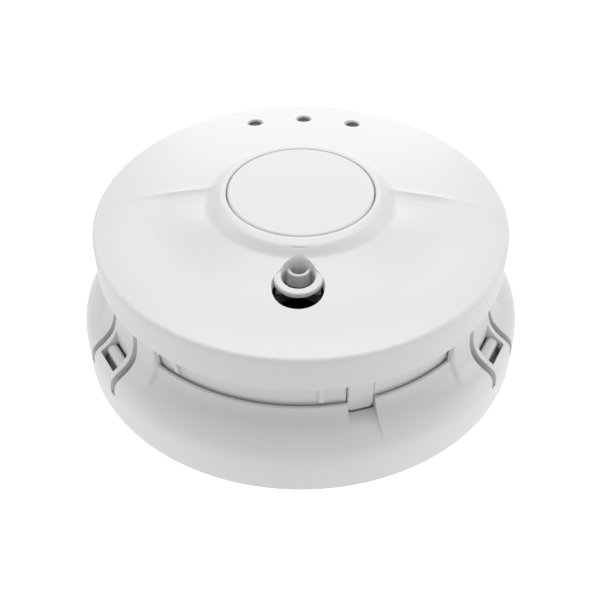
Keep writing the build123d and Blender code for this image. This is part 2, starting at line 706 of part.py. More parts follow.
with BuildPart() as chamber_lid:
    with BuildSketch(Plane.XY.offset(MESH_TOP)):
        with Locations((0, CHAMBER_Y)):
            Circle(CHAMBER_RADIUS)
    extrude(amount=CHAMBER_TOP - MESH_TOP)
    fillet(chamber_lid.edges().group_by(Axis.Z)[-1], 0.7)
write(chamber_lid, "chamber_lid")

for name, side in (("infrared_emitter", -1), ("photo_receiver", 1)):
    with BuildPart() as optic:
        with Locations(Location((side * 8.6, CHAMBER_Y - 4.6, CHAMBER_FLOOR + 3.2), (0, -side * 90, 0))):
            Cylinder(1.5, 5.0)
        with Locations((side * 6.1, CHAMBER_Y - 4.6, CHAMBER_FLOOR + 3.2)):
            Sphere(1.5)
    write(optic, name)

with BuildPart() as light_pipes:
    for step in (-1, 0, 1):
        with Locations(polar(INDICATOR_CIRCLE, 90 + step * INDICATOR_STEP, BOARD_TOP + 2.0)):
            Cylinder(2.0, 46.9 - BOARD_TOP - 2.0, align=(Align.CENTER, Align.CENTER, Align.MIN))
write(light_pipes, "light_pipes")

with BuildPart() as indicator_leds:
    for step in (-1, 0, 1):
        with Locations(polar(INDICATOR_CIRCLE, 90 + step * INDICATOR_STEP, BOARD_TOP)):
            Box(3.2, 2.8, 1.9, align=(Align.CENTER, Align.CENTER, Align.MIN))
write(indicator_leds, "indicator_leds")

# ------------------------------------------------------------ sounder

with BuildPart() as sounder_housing:
    with BuildSketch(Plane.XZ.offset(-SOUNDER_Y)):
        with BuildLine():
            Polyline(
                (SOUNDER_RADIUS, BOARD_TOP),
                (SOUNDER_RADIUS, 38.0),
                (6.0, 38.0),
                (6.0, 36.6),
                (SOUNDER_RADIUS - 1.3, 36.6),
                (SOUNDER_RADIUS - 1.3, DISC_Z),
                (SOUNDER_RADIUS - 3.6, DISC_Z),
                (SOUNDER_RADIUS - 3.6, BOARD_TOP),
                close=True,
            )
        make_face()
    revolve(axis=Axis((0, SOUNDER_Y, 0), (0, 0, 1)))
    with BuildSketch(Plane.XY.offset(37.0)):
        with Locations((0, SOUNDER_Y)):
            Circle(7.2)
            Circle(5.6, mode=Mode.SUBTRACT)
    extrude(amount=4.4)
write(sounder_housing, "sounder_housing")

with BuildPart() as sounder_disc:
    with Locations((0, SOUNDER_Y, DISC_Z)):
        Cylinder(13.6, 0.3, align=(Align.CENTER, Align.CENTER, Align.MIN))
write(sounder_disc, "sounder_disc")

with BuildPart() as sounder_ceramic:
    with Locations((0, SOUNDER_Y, DISC_Z)):
        Cylinder(9.5, 0.25, align=(Align.CENTER, Align.CENTER, Align.MAX))
write(sounder_ceramic, "sounder_ceramic")

with BuildPart() as sounder_gasket:
    with BuildSketch(Plane.XY.offset(DISC_Z + 0.3)):
        with Locations((0, SOUNDER_Y)):
            Circle(SOUNDER_RADIUS - 1.35)
            Circle(SOUNDER_RADIUS - 3.0, mode=Mode.SUBTRACT)
    extrude(amount=1.4)
write(sounder_gasket, "sounder_gasket")

# ------------------------------------------------ power and electronics

CELL_RADIUS = 7.1
CELL_LENGTH = 28.0
CELL_X = (-38.0, -23.2)
CELL_Z = BOARD_TOP + 1.2 + CELL_RADIUS

with BuildPart() as backup_cells:
    for x in CELL_X:
        with Locations(Location((x, 0, CELL_Z), (90, 0, 0))):
            Cylinder(CELL_RADIUS, CELL_LENGTH)
        with Locations(Location((x, CELL_LENGTH / 2 + 0.4, CELL_Z), (90, 0, 0))):
            Cylinder(2.2, 0.8)
write(backup_cells, "backup_cells")

with BuildPart() as cell_holder:
    with BuildSketch(Plane.XY.offset(BOARD_TOP)):
        with Locations((sum(CELL_X) / 2, 0)):
            Rectangle(CELL_X[1] - CELL_X[0] + 2 * CELL_RADIUS - 0.6, CELL_LENGTH + 4.6)
    extrude(amount=7.4)
    with BuildSketch(Plane.XZ):
        for x in CELL_X:
            with Locations((x, CELL_Z)):
                Circle(CELL_RADIUS + 0.05)
        with Locations((sum(CELL_X) / 2, CELL_Z + 2)):
            Rectangle(CELL_X[1] - CELL_X[0], 6)
    extrude(amount=CELL_LENGTH / 2 + 0.9, both=True, mode=Mode.SUBTRACT)
write(cell_holder, "cell_holder")

with BuildPart() as transformer_core:
    with Locations((38.0, 0, BOARD_TOP)):
        Box(20, 7, 18, align=(Align.CENTER, Align.CENTER, Align.MIN))
write(transformer_core, "transformer_core")

with BuildPart() as transformer_coil:
    with BuildSketch(Plane.XY.offset(BOARD_TOP + 3)):
        with Locations((38.0, 0)):
            RectangleRounded(17, 17, 2)
            Rectangle(20, 7, mode=Mode.SUBTRACT)
    extrude(amount=12)
write(transformer_coil, "transformer_coil")

with BuildPart() as capacitors:
    with Locations((31.0, -20.0, BOARD_TOP), (22.5, 2.0, BOARD_TOP)):
        Cylinder(4.6, 14.0, align=(Align.CENTER, Align.CENTER, Align.MIN))
    fillet(capacitors.edges().group_by(Axis.Z)[-1], 0.6)
write(capacitors, "capacitors")

with BuildPart() as control_chips:
    with Locations((11.0, -12.0, BOARD_TOP), (30.0, 22.0, BOARD_TOP)):
        Box(7.0, 7.0, 1.4, align=(Align.CENTER, Align.CENTER, Align.MIN))
write(control_chips, "control_chips")

PAD_Y = TERMINAL_CENTRE_Y + 6.0
PAD_X = [TERMINAL_PITCH * (n - (WAYS - 1) / 2) for n in range(WAYS)]

with BuildPart() as contact_pads:
    with BuildSketch(Plane.XY.offset(TUB_FLOOR_LOW)):
        for x in PAD_X:
            with Locations((x, PAD_Y)):
                Rectangle(5.4, 8.0)
    extrude(amount=-PAD_THICK)
write(contact_pads, "contact_pads")
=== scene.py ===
import json
from math import atan2, cos, degrees, hypot, pi, radians, sin

import bmesh
import bpy
from bpy.props import FloatProperty, IntProperty, PointerProperty
from mathutils import Matrix, Vector


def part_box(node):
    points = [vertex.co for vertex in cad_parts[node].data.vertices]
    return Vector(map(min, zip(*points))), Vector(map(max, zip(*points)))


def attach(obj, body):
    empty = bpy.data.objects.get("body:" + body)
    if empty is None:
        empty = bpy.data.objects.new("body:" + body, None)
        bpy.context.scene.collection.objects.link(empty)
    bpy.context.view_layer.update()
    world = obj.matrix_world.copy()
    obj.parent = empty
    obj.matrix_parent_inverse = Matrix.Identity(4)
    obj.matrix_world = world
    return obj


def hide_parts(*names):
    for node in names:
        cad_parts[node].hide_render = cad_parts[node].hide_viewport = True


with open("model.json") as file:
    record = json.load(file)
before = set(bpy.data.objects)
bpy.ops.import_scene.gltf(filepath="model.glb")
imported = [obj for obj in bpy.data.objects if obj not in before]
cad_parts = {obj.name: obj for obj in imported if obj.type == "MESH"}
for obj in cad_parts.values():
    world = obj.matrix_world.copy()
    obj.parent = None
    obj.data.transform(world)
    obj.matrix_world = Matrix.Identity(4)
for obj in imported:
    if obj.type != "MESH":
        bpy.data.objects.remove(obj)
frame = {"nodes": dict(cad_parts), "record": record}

bl_info = {
    "name": "Smoke detector",
    "version": (1, 0, 0),
    "blender": (4, 5, 0),
    "location": "3D View > Sidebar > Smoke detector",
    "description": "Shapes and finishes the pieces of a mains smoke detector",
    "category": "Object",
}

MM = 0.001


# ------------------------------------------------------------------ settings


class CoverSettings(bpy.types.PropertyGroup):
    """Sizes of the domed cover."""

    radius: FloatProperty(
        name="Radius", description="Outer radius of the cover", default=0.0634, unit="LENGTH"
    )
    collar_height: FloatProperty(
        name="Collar height", description="Height of the ring round the button", default=0.0543, unit="LENGTH"
    )
    crease_step: FloatProperty(
        name="Crease step", description="Height of the wing crease inside", default=0.0016, unit="LENGTH"
    )
    columns: IntProperty(name="Columns", description="Mesh columns round the cover", default=720, min=90)


class BaseSettings(bpy.types.PropertyGroup):
    """Sizes of the ceiling base."""

    shoulder_angle: FloatProperty(
        name="Shoulder angle", description="Half the angle of a shoulder", default=0.288, unit="ROTATION"
    )
    fade_angle: FloatProperty(
        name="Fade angle", description="Angle of a shoulder's falling end", default=0.02, unit="ROTATION"
    )
    columns: IntProperty(name="Columns", description="Mesh columns round the base", default=720, min=90)


class MeshSettings(bpy.types.PropertyGroup):
    """Sizes of the insect mesh round the sensing chamber."""

    wires: IntProperty(name="Wires", description="Upright wires round the chamber", default=110, min=12)
    rings: IntProperty(name="Rings", description="Level wires round the chamber", default=13, min=3)
    wire: FloatProperty(name="Wire", description="Radius of the wire", default=0.00012, unit="LENGTH")


class StageSettings(bpy.types.PropertyGroup):
    """Camera and lights."""

    distance: FloatProperty(
        name="Distance", description="Camera to look-at point", default=0.3282, unit="LENGTH"
    )
    elevation: FloatProperty(
        name="Elevation", description="Camera height angle", default=0.73356, unit="ROTATION"
    )
    azimuth: FloatProperty(
        name="Azimuth", description="Turn of the camera about Z", default=0.02007, unit="ROTATION"
    )
    lens: FloatProperty(name="Lens", description="Focal length", default=59.5, unit="CAMERA")


# ------------------------------------------------------------------ helpers


def linear(code):
    """An sRGB hex colour as linear RGBA."""
    values = [int(code[i : i + 2], 16) / 255 for i in (1, 3, 5)]
    return tuple(v / 12.92 if v <= 0.04045 else ((v + 0.055) / 1.055) ** 2.4 for v in values) + (1.0,)


def node(tree, kind, inputs=None, links=None, **settings):
    """Adds a node with its settings, socket values and incoming links."""
    n = tree.nodes.new(kind)
    for key, value in settings.items():
        setattr(n, key, value)
    for key, value in (inputs or {}).items():
        n.inputs[key].default_value = value
    for key, source in (links or {}).items():
        tree.links.new(source, n.inputs[key])
    return n


def material(name, code, roughness, metallic=0.0, bump=0.0, grain=0.6, spread=0.0):
    """A principled material with a fine grain in its bump and roughness; grain is its size in mm."""
    m = bpy.data.materials.new(name)
    m.use_nodes = True
    tree = m.node_tree
    shader = tree.nodes["Principled BSDF"]
    shader.inputs["Base Color"].default_value = linear(code)
    shader.inputs["Roughness"].default_value = roughness
    shader.inputs["Metallic"].default_value = metallic
    if bump or spread:
        place = node(tree, "ShaderNodeTexCoord")
        noise = node(tree, "ShaderNodeTexNoise", {"Scale": 1 / (grain * MM), "Detail": 3.0},
                     {"Vector": place.outputs["Object"]})
        if bump:
            relief = node(tree, "ShaderNodeBump", {"Strength": bump, "Distance": 0.02 * MM},
                          {"Height": noise.outputs["Fac"]})
            tree.links.new(relief.outputs["Normal"], shader.inputs["Normal"])
        if spread:
            ramp = node(tree, "ShaderNodeMapRange", {
                "To Min": roughness - spread, "To Max": roughness + spread}, {"Value": noise.outputs["Fac"]})
            tree.links.new(ramp.outputs["Result"], shader.inputs["Roughness"])
    return m


def floor_material():
    """A pale floor that lights the object softly from below and looks plain white to the camera."""
    m = bpy.data.materials.new("floor_paper")
    m.use_nodes = True
    tree = m.node_tree
    tree.nodes.clear()
    path = node(tree, "ShaderNodeLightPath")
    place = node(tree, "ShaderNodeTexCoord")
    reach = node(tree, "ShaderNodeVectorMath", {}, {0: place.outputs["Object"]}, operation="LENGTH")
    glow = node(tree, "ShaderNodeMapRange", {
        "From Min": 0.09, "From Max": 0.20, "To Min": 1.05, "To Max": 0.85}, {
        "Value": reach.outputs["Value"]}, interpolation_type="SMOOTHSTEP")
    paper = node(tree, "ShaderNodeEmission", {"Color": (1, 1, 1, 1)}, {"Strength": glow.outputs["Result"]})
    bright = node(tree, "ShaderNodeEmission", {"Color": (1, 1, 1, 1), "Strength": 1.3})
    mix = node(tree, "ShaderNodeMixShader", {}, {
        0: path.outputs["Is Camera Ray"], 1: paper.outputs["Emission"], 2: bright.outputs["Emission"]})
    node(tree, "ShaderNodeOutputMaterial", {}, {"Surface": mix.outputs["Shader"]})
    return m


def to_mesh(name, verts, faces, smooth_angle=32):
    """A mesh object from points in millimetres, its faces outward and its sharp edges marked."""
    mesh = bpy.data.meshes.new(name)
    mesh.from_pydata([(x * MM, y * MM, z * MM) for x, y, z in verts], [], faces)
    bm = bmesh.new()
    bm.from_mesh(mesh)
    bmesh.ops.recalc_face_normals(bm, faces=bm.faces)
    bm.to_mesh(mesh)
    bm.free()
    mesh.shade_smooth()
    mesh.set_sharp_from_angle(angle=radians(smooth_angle))
    obj = bpy.data.objects.new(name, mesh)
    bpy.context.scene.collection.objects.link(obj)
    return obj


def loop_surface(name, loops, closed_ends=False, smooth_angle=32):
    """A closed surface through equal closed loops of points; the loops themselves close into a ring."""
    verts = [p for loop in loops for p in loop]
    n = len(loops[0])
    faces = []
    count = len(loops)
    last = count - 1 if closed_ends else count
    for i in range(last):
        j = (i + 1) % count
        for k in range(n):
            m = (k + 1) % n
            faces.append((i * n + k, j * n + k, j * n + m, i * n + m))
    if closed_ends:
        faces.append(tuple(range(n)))
        faces.append(tuple((count - 1) * n + k for k in reversed(range(n))))
    return to_mesh(name, verts, faces, smooth_angle)


def lathe(name, profile, centre=(0.0, 0.0), columns=96, span=(0.0, 360.0), tilt=None, smooth_angle=32):
    """Turns a closed profile of (r, z) about a vertical axis, whole or in part; tilt is (x angle, pivot)."""
    whole = span[1] - span[0] >= 360
    steps = columns if whole else columns + 1
    loops = []
    for i in range(steps):
        a = radians(span[0] + (span[1] - span[0]) * i / columns)
        loops.append([(centre[0] + r * cos(a), centre[1] + r * sin(a), z) for r, z in profile])
    obj = loop_surface(name, loops, closed_ends=not whole, smooth_angle=smooth_angle)
    if tilt:
        pivot = Vector(tilt[1]) * MM
        turn = Matrix.Rotation(radians(tilt[0]), 4, "X")
        obj.data.transform(Matrix.Translation(pivot) @ turn @ Matrix.Translation(-pivot))
    return obj


def box(name, low, high, azimuth=0.0):
    """A box between two corners, turned about the Z axis."""
    corners = [(x, y, z) for x in (low[0], high[0]) for y in (low[1], high[1]) for z in (low[2], high[2])]
    a = radians(azimuth)
    verts = [(x * cos(a) - y * sin(a), x * sin(a) + y * cos(a), z) for x, y, z in corners]
    faces = [(0, 1, 3, 2), (4, 6, 7, 5), (0, 4, 5, 1), (2, 3, 7, 6), (0, 2, 6, 4), (1, 5, 7, 3)]
    return to_mesh(name, verts, faces)


def slab(name, outline, y_low, y_high, azimuth=0.0):
    """A plate from y_low to y_high across, its outline given as (outward, up) at an azimuth."""
    a = radians(azimuth)
    loops = []
    for y in (y_low, y_high):
        loops.append([(x * cos(a) - y * sin(a), x * sin(a) + y * cos(a), z) for x, z in outline])
    return loop_surface(name, loops, closed_ends=True)


def spline(points, per_span=6):
    """A smooth line through points, by Catmull-Rom spans."""
    out = []
    n = len(points)
    for i in range(n - 1):
        p0, p1, p2, p3 = (points[max(0, min(n - 1, i + k))] for k in (-1, 0, 1, 2))
        for s in range(per_span):
            t = s / per_span
            out.append(
                tuple(
                    0.5 * (2 * b + (c - a) * t + (2 * a - 5 * b + 4 * c - d) * t * t
                           + (3 * b - a - 3 * c + d) * t ** 3)
                    for a, b, c, d in zip(p0, p1, p2, p3)
                )
            )
    out.append(points[-1])
    return out


def ease(t):
    """A smooth step from 0 to 1."""
    t = max(0.0, min(1.0, t))
    return t * t * (3 - 2 * t)


def joined(name, objects):
    """One mesh object from several."""
    bm = bmesh.new()
    for o in objects:
        bm.from_mesh(o.data)
        bpy.data.objects.remove(o)
    mesh = bpy.data.meshes.new(name)
    bm.to_mesh(mesh)
    bm.free()
    obj = bpy.data.objects.new(name, mesh)
    bpy.context.scene.collection.objects.link(obj)
    return obj


def cut(obj, tools, smooth_angle=32):
    """Cuts tools out of a closed mesh and makes the result plain."""
    tool = joined("tools", tools)
    modifier = obj.modifiers.new("cut", "BOOLEAN")
    modifier.operation = "DIFFERENCE"
    modifier.solver = "EXACT"
    modifier.object = tool
    bpy.context.view_layer.update()
    result = bpy.data.meshes.new_from_object(obj.evaluated_get(bpy.context.evaluated_depsgraph_get()))
    obj.modifiers.clear()
    obj.data = result
    result.name = obj.name
    bpy.data.objects.remove(tool)
    result.shade_smooth()
    result.set_sharp_from_angle(angle=radians(smooth_angle))
    return obj


def finish_piece(obj, body, slot, finish, *nodes):
    """Gives a piece its material and body and hides the CAD nodes it replaces; slot is not used."""
    obj.data.materials.clear()
    obj.data.materials.append(finish)
    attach(obj, body)
    if nodes:
        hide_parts(*nodes)


# ------------------------------------------------------------------ cover

WELL_RADIUS = 22.55
COVER_BOTTOM = 33.9
COVER_WALL = 2.2
RIM_TOP = 45.7
RIM_ROUND = 1.3
DOME_START = 24.3
DOME_END = 62.1
DOME_TOP = 50.9
FRONT_DROP = 1.2
FLARE_START = 24.4
FLARE_REAR = 5.5
FLARE_FRONT = 16.5
CREASE_END = 60.0
INDICATOR_CIRCLE = 50.5
INDICATOR_STEP = 19.1
OUTLET_Y = -37.6
OUTLET_RADIUS = 7.35
OUTLET_BEVEL = 0.25
LIP_Y = -33.5
LIP_Z = 49.3
LIP_TILT = 7
CROWN_Y = -29.3
AXIS_RADIUS = 0.0001


def dome_height(r, front, collar_z):
    """Height of the dome at a radius; front is 0 behind the creases and 1 before them."""
    u = min(1.0, max(0.0, (r - DOME_START) / (DOME_END - DOME_START)))
    top = DOME_TOP - FRONT_DROP * front
    dome = RIM_TOP + (top - RIM_TOP) * (1 - 0.6 * u - 0.4 * u ** 3.0)
    width = FLARE_REAR + FLARE_FRONT * front
    t = max(0.0, 1 - (r - FLARE_START) / width)
    return dome + (collar_z - dome) * min(1.0, t) ** (2.1 - 0.4 * front)


def crease_y(r):
    """Y of the crease at a radius: it lies a little behind the X axis and nears it outwards."""
    return 5.5 - 3.0 * (r - 28.5) / 28.5


def top_height(x, y, collar_z, step):
    """Height of the cover's top at a point."""
    r = hypot(x, y)
    rear = dome_height(r, 0.0, collar_z)
    fore = dome_height(r, 1.0, collar_z)
    side = ease(-y / 20 + 0.1)
    edge = ease((CREASE_END - r) / 21)
    behind = y - crease_y(r)
    low = rear + (fore - rear) * side
    drop = step * edge * (1.0 if r > 29 else ease((r - 25.5) / 3.5))
    if behind >= 0:
        return rear + 0.2 * drop * max(0.0, 1 - behind / 2.6) ** 2
    fall = 1 - max(0.0, 1 + behind / 4.5) ** 2
    return low + 0.2 * drop - 1.2 * drop * fall


def cover_section(nominal, radii, s):
    """One closed section of the cover at an angle; the sections near a crease turn to follow it."""
    collar_z = s.collar_height / MM
    radius = s.radius / MM
    crease = 6.5
    a = radians(nominal)
    lip = [(WELL_RADIUS, collar_z - 0.35), (WELL_RADIUS + 0.1, collar_z - 0.1)]
    lip += [(WELL_RADIUS + 0.35, collar_z), (23.9, collar_z), (24.2, collar_z - 0.06)]
    points = [(r * cos(a), r * sin(a), z) for r, z in lip]
    for r in radii:
        turn = degrees(atan2(crease_y(r), r))
        at = nominal
        for mid, sign in ((crease, 1), (180 - crease, -1)):
            near = max(0.0, 1 - abs(nominal - mid) / 24)
            at += sign * (turn - crease) * near
        x, y = r * cos(radians(at)), r * sin(radians(at))
        points.append((x, y, top_height(x, y, collar_z, s.crease_step / MM) - 0.18 * max(0, 24.9 - r)))
    rim = []
    for q in (14, 26, 38, 50, 62, 74, 86):
        out, up = RIM_ROUND * sin(radians(q)), RIM_ROUND * cos(radians(q))
        rim.append((radius - RIM_ROUND + out, RIM_TOP - RIM_ROUND + up))
    rim += [(radius, RIM_TOP - 3.0), (radius, COVER_BOTTOM + 0.3), (radius - 0.3, COVER_BOTTOM)]
    inside = [(radius - COVER_WALL, COVER_BOTTOM), (radius - COVER_WALL, 42.0), (radius - 3.4, 43.6)]
    inside += [(24.6, 46.9), (24.3, 44.8), (3.6, 44.8), (3.6, 46.4), (WELL_RADIUS, 46.4)]
    return points + [(r * cos(a), r * sin(a), z) for r, z in rim + inside]


def indicator_hole(step):
    """The tool for one indicator hole, widening to the outside."""
    a = radians(90 + INDICATOR_STEP * step)
    bore = [(AXIS_RADIUS, 40), (2.25, 40), (2.25, 47.2), (2.9, 48.4), (2.9, 52), (AXIS_RADIUS, 52)]
    return lathe("hole", bore, (INDICATOR_CIRCLE * cos(a), INDICATOR_CIRCLE * sin(a)), 40)


def outlet_hole():
    """The tool for the round sounder outlet, with a small bevel."""
    wide = OUTLET_RADIUS + OUTLET_BEVEL
    bore = [(AXIS_RADIUS, 36), (OUTLET_RADIUS, 36), (OUTLET_RADIUS, 47.9)]
    bore += [(wide, 48.4), (wide, 56), (AXIS_RADIUS, 56)]
    return lathe("outlet", bore, (0, OUTLET_Y), 80)


def bowl_hollow():
    """The tool for the tilted bowl behind the lip."""
    bowl = [(AXIS_RADIUS, 40), (4.75, 42), (4.75, 47.5), (4.85, 48.6), (5.1, 49.6), (5.5, 50.5), (6.1, 51.3),
            (7.0, 52.0), (8.4, 52.6), (AXIS_RADIUS, 52.6)]
    return lathe("bowl", bowl, (0, LIP_Y), 80, tilt=(LIP_TILT, (0, LIP_Y, LIP_Z)))


def build_cover(s):
    """The domed cover with its collar, creases, outlet lip and nozzle."""
    flare = [24.5 + 0.35 * i for i in range(16)]
    dome = [30.5 + (DOME_END - 30.5) * i / 44 for i in range(45)]
    loops = [cover_section(360 * i / s.columns, flare + dome, s) for i in range(s.columns)]
    cover = loop_surface("cover_shell", loops, smooth_angle=38)
    cut(cover, [indicator_hole(step) for step in (-1, 0, 1)], 38)
    cut(cover, [outlet_hole()], 38)
    cut(cover, [bowl_hollow()], 38)
    ring = [(4.75, -1.4), (4.75, -0.6), (4.95, -0.2), (5.35, 0.0)]
    ring += [(6.5, 0.0), (6.9, -0.2), (7.1, -0.6), (7.1, -1.6)]
    ring = [(r, LIP_Z + z) for r, z in ring]
    lip = lathe("lip", ring, (0, LIP_Y), 96, (-212, 32), tilt=(LIP_TILT, (0, LIP_Y, LIP_Z)))
    wall = [(4.9, 42.0), (6.4, 42.0), (6.6, 47.6), (5.2, 46.8)]
    throat = lathe("throat_wall", wall, (0, LIP_Y), 64, (0, 180))
    nozzle = [(2.4, 44.3), (3.85, 44.3), (3.35, 48.0), (3.1, 48.2), (2.6, 48.2), (2.4, 48.0)]
    crown = lathe("crown", nozzle, (0, CROWN_Y), 64)
    return joined("cover_shell", [cover, lip, throat, crown])


# ------------------------------------------------------------------ base

ENTRIES = (-148.9, -25.9, 92.6)
SLOT_MIDDLE = 7.8
SLOT_HALF_WIDTH = 1.2
WINDOW_HALF_WIDTH = 4.9
HOOKS = (90.0, 210.0, 330.0)
HOOK_HALF_ANGLE = 5.5
TAB = -72.4
CHANNEL_HALF_WIDTH = 4.1
FIXING_RADIUS = 2.2


def build_base(s):
    """The ceiling base: skirt, slope, shoulders with cable entries, floor and hooks."""
    common = [(70.0, 0.0), (70.0, 4.5), (70.0, 9.0), (69.8, 11.9), (69.1, 13.9), (67.6, 15.3), (65.5, 16.7)]
    high = spline(common + [(63.6, 18.4), (62.1, 20.7), (61.2, 24.0), (60.8, 28.0), (60.8, 30.7)], 5)
    low = spline(common + [(63.6, 17.9), (62.2, 19.3), (61.2, 20.9), (60.6, 22.3), (60.3, 23.3)], 5)
    high += [(60.5, 31.0), (59.3, 31.0), (59.0, 30.7), (59.0, 18.0)]
    low += [(60.1, 23.6), (59.4, 23.6), (59.2, 23.4), (59.2, 18.4)]
    rest = [(60.5, 16.8), (67.4, 12.2), (68.2, 10.6), (68.2, 2.4), (3.0, 2.4), (3.0, 0.0)]
    loops = []
    for i in range(s.columns):
        degree = 360 * i / s.columns
        a = radians(degree)
        apart = min(abs((degree - e + 180) % 360 - 180) for e in ENTRIES)
        weight = ease((degrees(s.shoulder_angle) - apart) / degrees(s.fade_angle) + 0.5)
        loops.append(
            [((l[0] + (h[0] - l[0]) * weight) * cos(a), (l[0] + (h[0] - l[0]) * weight) * sin(a),
              l[1] + (h[1] - l[1]) * weight) for l, h in zip(low, high)]
            + [(r * cos(a), r * sin(a), z) for r, z in rest]
        )
    base = loop_surface("base_shell", loops, smooth_angle=36)
    tools = []
    for e in ENTRIES:
        for side in (-1, 1):
            y = side * SLOT_MIDDLE
            band = [(55, 33), (72, 33), (72, 10.4), (69.4, 8.8), (67.0, 7.5), (58.0, 15.0), (55, 17)]
            tools.append(slab("slot", band, y - SLOT_HALF_WIDTH, y + SLOT_HALF_WIDTH, e))
        tools.append(box("window", (61.7, -WINDOW_HALF_WIDTH, 9.0), (67.6, WINDOW_HALF_WIDTH, 26), e))
    floor = [(57.5, 19.4), (60.3, 18.7), (68.4, 14.7), (68.4, 28), (57.5, 28)]
    tools.append(slab("channel", floor, -CHANNEL_HALF_WIDTH, CHANNEL_HALF_WIDTH, TAB))
    tools.append(box("cable", (-17, -13, -1), (17, 13, 5)))
    for x in (-30, 30):
        tools.append(box("fixing", (x - 5, -FIXING_RADIUS, -1), (x + 5, FIXING_RADIUS, 4)))
    for y in (-42, 42):
        bore = [(AXIS_RADIUS, -1), (FIXING_RADIUS, -1), (FIXING_RADIUS, 4), (AXIS_RADIUS, 4)]
        tools.append(lathe("fixing", bore, (0, y), 32))
    cut(base, tools, 36)
    hooks = []
    for h in HOOKS:
        profile = [(53.2, 2.3), (55.2, 2.3), (55.2, 11.2), (50.2, 11.2), (50.2, 9.2), (53.2, 9.2)]
        hooks.append(lathe("hook", profile, (0, 0), 8, (h - HOOK_HALF_ANGLE, h + HOOK_HALF_ANGLE)))
    return joined("base_shell", [base] + hooks)


# ------------------------------------------------------------------ insect mesh


def mesh_tree():
    """Geometry nodes: a round cage of upright and level wires."""
    tree = bpy.data.node_groups.new("insect_mesh_wires", "GeometryNodeTree")
    tree.is_modifier = True
    face = tree.interface
    face.new_socket("Geometry", in_out="OUTPUT", socket_type="NodeSocketGeometry")
    for name, kind in (("Wires", "Int"), ("Rings", "Int"), ("Radius", "Float"), ("Height", "Float"),
                       ("Wire radius", "Float")):
        face.new_socket(name, in_out="INPUT", socket_type=f"NodeSocket{kind}")
    face.new_socket("Material", in_out="INPUT", socket_type="NodeSocketMaterial")
    enter = node(tree, "NodeGroupInput")
    cage = node(tree, "GeometryNodeMeshCylinder", links={
        "Vertices": enter.outputs["Wires"], "Side Segments": enter.outputs["Rings"],
        "Radius": enter.outputs["Radius"], "Depth": enter.outputs["Height"]}, fill_type="NONE")
    curve = node(tree, "GeometryNodeMeshToCurve", links={"Mesh": cage.outputs["Mesh"]})
    ring = node(tree, "GeometryNodeCurvePrimitiveCircle", {"Resolution": 6},
                {"Radius": enter.outputs["Wire radius"]})
    wire = node(tree, "GeometryNodeCurveToMesh", links={
        "Curve": curve.outputs["Curve"], "Profile Curve": ring.outputs["Curve"]})
    real = node(tree, "GeometryNodeRealizeInstances", links={"Geometry": wire.outputs["Mesh"]})
    skin = node(tree, "GeometryNodeSetMaterial", links={
        "Geometry": real.outputs["Geometry"], "Material": enter.outputs["Material"]})
    node(tree, "NodeGroupOutput", links={"Geometry": skin.outputs["Geometry"]})
    return tree


def grown(name, tree, values):
    """Runs a geometry node tree on an empty mesh and keeps the plain result."""
    obj = bpy.data.objects.new(name, bpy.data.meshes.new(name))
    bpy.context.scene.collection.objects.link(obj)
    modifier = obj.modifiers.new(name, "NODES")
    modifier.node_group = tree
    sockets = {i.name: i.identifier for i in tree.interface.items_tree if i.in_out == "INPUT"}
    for key, value in values.items():
        modifier[sockets[key]] = value
    bpy.context.view_layer.update()
    mesh = bpy.data.meshes.new_from_object(obj.evaluated_get(bpy.context.evaluated_depsgraph_get()))
    obj.modifiers.clear()
    obj.data = mesh
    return obj


# ------------------------------------------------------------------ finishes

FINISHES = {
    "housing_white": dict(
        name="moulded_abs_white", code="#e8e8e8", roughness=0.34, bump=0.25, grain=0.5, spread=0.03
    ),
    "inner_white": dict(name="moulded_nylon_white", code="#e6e6e2", roughness=0.5, bump=0.2),
    "black_plastic": dict(name="moulded_dark_plastic", code="#636365", roughness=0.5, bump=0.2),
    "terminal_plastic": dict(name="terminal_nylon", code="#dcdcd0", roughness=0.45, bump=0.1),
    "steel": dict(
        name="zinc_plated_steel", code="#b9bcc0", roughness=0.3, metallic=1.0, spread=0.08, bump=0.1
    ),
    "brass": dict(name="plain_brass", code="#c9a35a", roughness=0.3, metallic=1.0, spread=0.08),
    "gold_contact": dict(name="plated_contact", code="#dcb765", roughness=0.22, metallic=1.0, spread=0.05),
    "board_green": dict(name="solder_mask", code="#1d5a3a", roughness=0.3, bump=0.3, grain=1.0),
    "ceramic": dict(name="piezo_ceramic", code="#dcd6c6", roughness=0.6, bump=0.2),
    # The light pipes' near-black colour is painted shade: it stands in for the shade inside the recessed
    # indicator holes.
    "clear_pipe": dict(name="pipe_acrylic_painted_hole_shade", code="#141516", roughness=0.15),
    "led_body": dict(name="led_resin", code="#e4dcae", roughness=0.3),
    "emitter_clear": dict(name="clear_resin", code="#9fb0c8", roughness=0.1),
    "receiver_dark": dict(name="infrared_resin", code="#1c181f", roughness=0.12),
    "cell_wrap": dict(name="cell_shrink_sleeve", code="#38618c", roughness=0.28),
    "gasket_foam": dict(name="closed_cell_foam", code="#222222", roughness=0.9, bump=0.8, grain=0.4),
    "capacitor_sleeve": dict(name="capacitor_sleeve", code="#222640", roughness=0.3),
    "core_steel": dict(name="laminated_iron", code="#4a4a4d", roughness=0.45, metallic=0.6, bump=0.3),
    "coil_tape": dict(name="polyester_tape", code="#caa53c", roughness=0.35),
}


def finishes():
    """The materials, one for each slot of the record, made once."""
    out = {}
    for slot, values in FINISHES.items():
        found = bpy.data.materials.get(values["name"])
        out[slot] = found or material(**values)
    return out


# ------------------------------------------------------------------ operators


class OBJECT_OT_dress_cad(bpy.types.Operator):
    """Gives every CAD node its material"""

    bl_idname = "detector.dress_cad"
    bl_label = "Finish the CAD nodes"

    def execute(self, context):
        skins = finishes()
        slots = {s["node"]: s["material_slot"] for s in frame["record"]["subparts"]}
        for name, obj in frame["nodes"].items():
            obj.data.materials.clear()
            obj.data.materials.append(skins[slots[name]])
        return {"FINISHED"}


